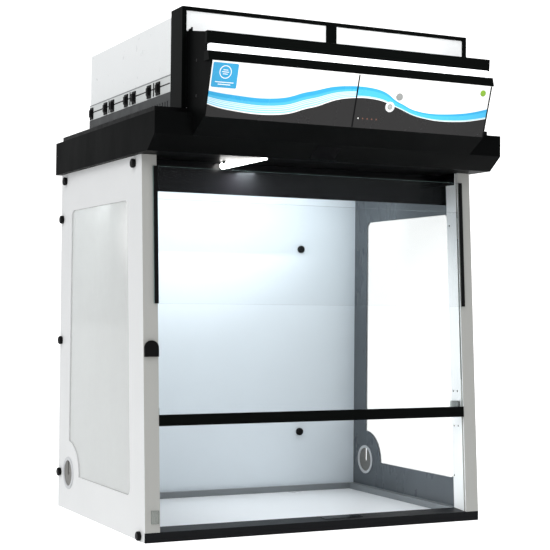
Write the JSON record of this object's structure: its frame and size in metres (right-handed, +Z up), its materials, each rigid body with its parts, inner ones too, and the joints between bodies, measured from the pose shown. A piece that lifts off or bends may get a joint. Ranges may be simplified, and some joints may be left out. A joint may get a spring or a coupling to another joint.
{
  "type": "fume hood",
  "caption": "Bench-top filtering fume hood with a leaning glazed front, sliding sash, glazed sides, lamp, clipped filter stack with fans on top and a forward-leaning control head.",
  "frame": {"origin": "centre of the bounding box's footprint, on the bench plane", "axes": "+X to the user's right, +Y to the rear, +Z up; the front faces -Y"},
  "size_m": [1.0312, 0.9198, 1.3518],
  "materials": {
    "black_alloy": "black anodised",
    "tray_grey": "satin",
    "worktop_white": "smooth semi-gloss",
    "white_coat": "smooth powder coat",
    "liner_grey": "satin powder coat",
    "clear_pane": "polished",
    "port_grey": "satin",
    "rear_white": "satin laminate",
    "frame_alloy": "brushed",
    "black_plastic": "fine moulded texture",
    "post_grey": "satin paint",
    "slider_white": "waxy",
    "clear_plastic": "clear moulded",
    "fan_white": "smooth moulded",
    "screw_steel": "plated",
    "header_black": "glossy",
    "lamp_white": "lit diffuser",
    "black_coat": "satin powder coat",
    "sensor_black": "glossy window",
    "pad_white": "non-woven pad",
    "filter_dark": "moulded",
    "filter_grey": "moulded",
    "carbon_black": "granular",
    "deck_steel": "galvanised",
    "motor_grey": "satin",
    "fan_black": "moulded",
    "light_white": "lit diffuser",
    "fascia_film": "printed film",
    "badge_blue": "glossy",
    "bezel_white": "satin",
    "button_grey": "satin",
    "status_green": "lit lens",
    "board_green": "solder mask"
  },
  "bodies": {
    "cabinet": {"sill": "black_alloy", "base_tray": "tray_grey", "worktop": "worktop_white", "side_panel_left": "white_coat", "side_panel_right": "white_coat", "side_liner_left": "liner_grey", "side_liner_right": "liner_grey", "side_window_left": "clear_pane", "side_window_right": "clear_pane", "port_rings": "port_grey", "rear_panel": "rear_white", "rear_cover": "rear_white", "rear_posts": "frame_alloy", "panel_knobs": "black_plastic", "post_left": "post_grey", "post_right": "post_grey", "pane_strips": "black_plastic", "upper_pane": "clear_pane", "clear_stops": "clear_plastic", "front_panel": "fan_white", "small_screws": "screw_steel", "airflow_sensor": "black_plastic", "header_baffle": "header_black", "lamp_tube": "lamp_white", "lamp_clips": "black_plastic", "canopy_shell": "black_coat", "canopy_deck": "black_plastic", "hand_sensor": "sensor_black", "prefilter_pad": "pad_white", "filter_tray": "filter_dark", "cassette_left": "filter_grey", "cassette_right": "filter_grey", "carbon_beds": "carbon_black", "filter_clips": "black_plastic", "fan_deck": "deck_steel", "fan_shell_left": "fan_white", "fan_shell_right": "fan_white", "fan_motors": "motor_grey", "exhaust_grilles": "fan_black", "surround_uprights": "black_alloy", "surround_top": "black_alloy", "head_housing": "black_coat", "head_rails": "black_alloy", "light_bar": "light_white", "fascia_left": "fascia_film", "fascia_right": "fascia_film", "badge": "badge_blue", "power_bezel": "bezel_white", "status_lights": "status_green", "control_board": "board_green", "mains_gland": "black_plastic"},
    "sash": {"sash_pane": "clear_pane", "sash_handle": "black_alloy", "sash_runners": "slider_white"},
    "left_port_cover": {"port_cover_left": "port_grey"},
    "right_port_cover": {"port_cover_right": "port_grey"},
    "left_impeller": {"impeller_left": "fan_black"},
    "right_impeller": {"impeller_right": "fan_black"},
    "power_key": {"power_button": "button_grey"},
    "mode_key": {"mode_button": "button_grey"}
  },
  "joints": [
    {"name": "sash_slide", "type": "slide", "parent": "cabinet", "child": "sash", "axis": [0, 0.0576, 0.9983], "range_m": [-0.262, 0.08]},
    {"name": "left_port_turn", "type": "hinge", "parent": "cabinet", "child": "left_port_cover", "pos_m": [-0.4935, 0.34935, 0.107], "axis": [1, 0, 0], "range_deg": [-90, 90]},
    {"name": "right_port_turn", "type": "hinge", "parent": "cabinet", "child": "right_port_cover", "pos_m": [0.4935, 0.34935, 0.107], "axis": [1, 0, 0], "range_deg": [-90, 90]},
    {"name": "left_fan_spin", "type": "hinge", "parent": "cabinet", "child": "left_impeller", "pos_m": [-0.21475, 0.08985, 1.27], "axis": [0, 0, 1], "continuous": true},
    {"name": "right_fan_spin", "type": "hinge", "parent": "cabinet", "child": "right_impeller", "pos_m": [0.21475, 0.08985, 1.27], "axis": [0, 0, 1], "continuous": true},
    {"name": "power_press", "type": "slide", "parent": "cabinet", "child": "power_key", "axis": [0, 0.9542, 0.299], "range_m": [0, 0.0015], "stiffness_N_per_m": 400, "springref_m": -0.001},
    {"name": "mode_press", "type": "slide", "parent": "cabinet", "child": "mode_key", "axis": [0, 0.9542, 0.299], "range_m": [0, 0.0015], "stiffness_N_per_m": 400, "springref_m": -0.001}
  ]
}
